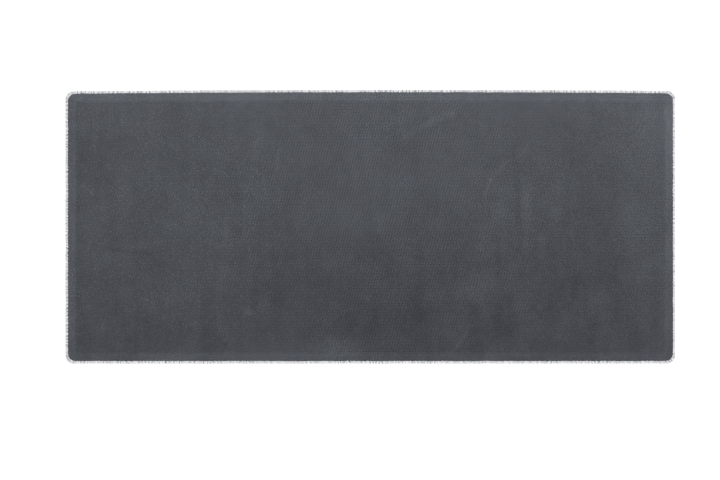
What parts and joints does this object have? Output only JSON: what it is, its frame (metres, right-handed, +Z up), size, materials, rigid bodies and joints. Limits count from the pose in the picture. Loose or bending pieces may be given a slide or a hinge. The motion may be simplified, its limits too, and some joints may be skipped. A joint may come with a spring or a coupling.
{
  "type": "mouse pad",
  "caption": "Desk-sized mouse pad, a cloth face bonded to a foam-rubber base with an overlocked edge, lying with its non-slip rubber side up.",
  "frame": {"origin": "on the surface that the mat lies on, under the middle of its outline, on the cloth face", "axes": "+X along the long side, +Y along the short side and up in the picture, +Z up, out of the rubber grip face that the picture shows"},
  "size_m": [0.9, 0.4, 0.004],
  "materials": {
    "cloth": null,
    "adhesive": "thin hot-melt film, hidden between the cloth and the rubber",
    "rubber": "blue-grey natural foam rubber, matt, with a fine slanted grip grain and a smooth band beside the seam",
    "looper_thread": "white textured polyester thread, dense and slightly fuzzy",
    "needle_thread": "white spun polyester thread"
  },
  "bodies": {
    "root": {"cloth_face": "cloth", "adhesive_film": "adhesive", "rubber_base": "rubber", "rubber_side_looper_thread": "looper_thread", "cloth_side_looper_thread": "looper_thread", "needle_thread": "needle_thread"}
  },
  "joints": []
}
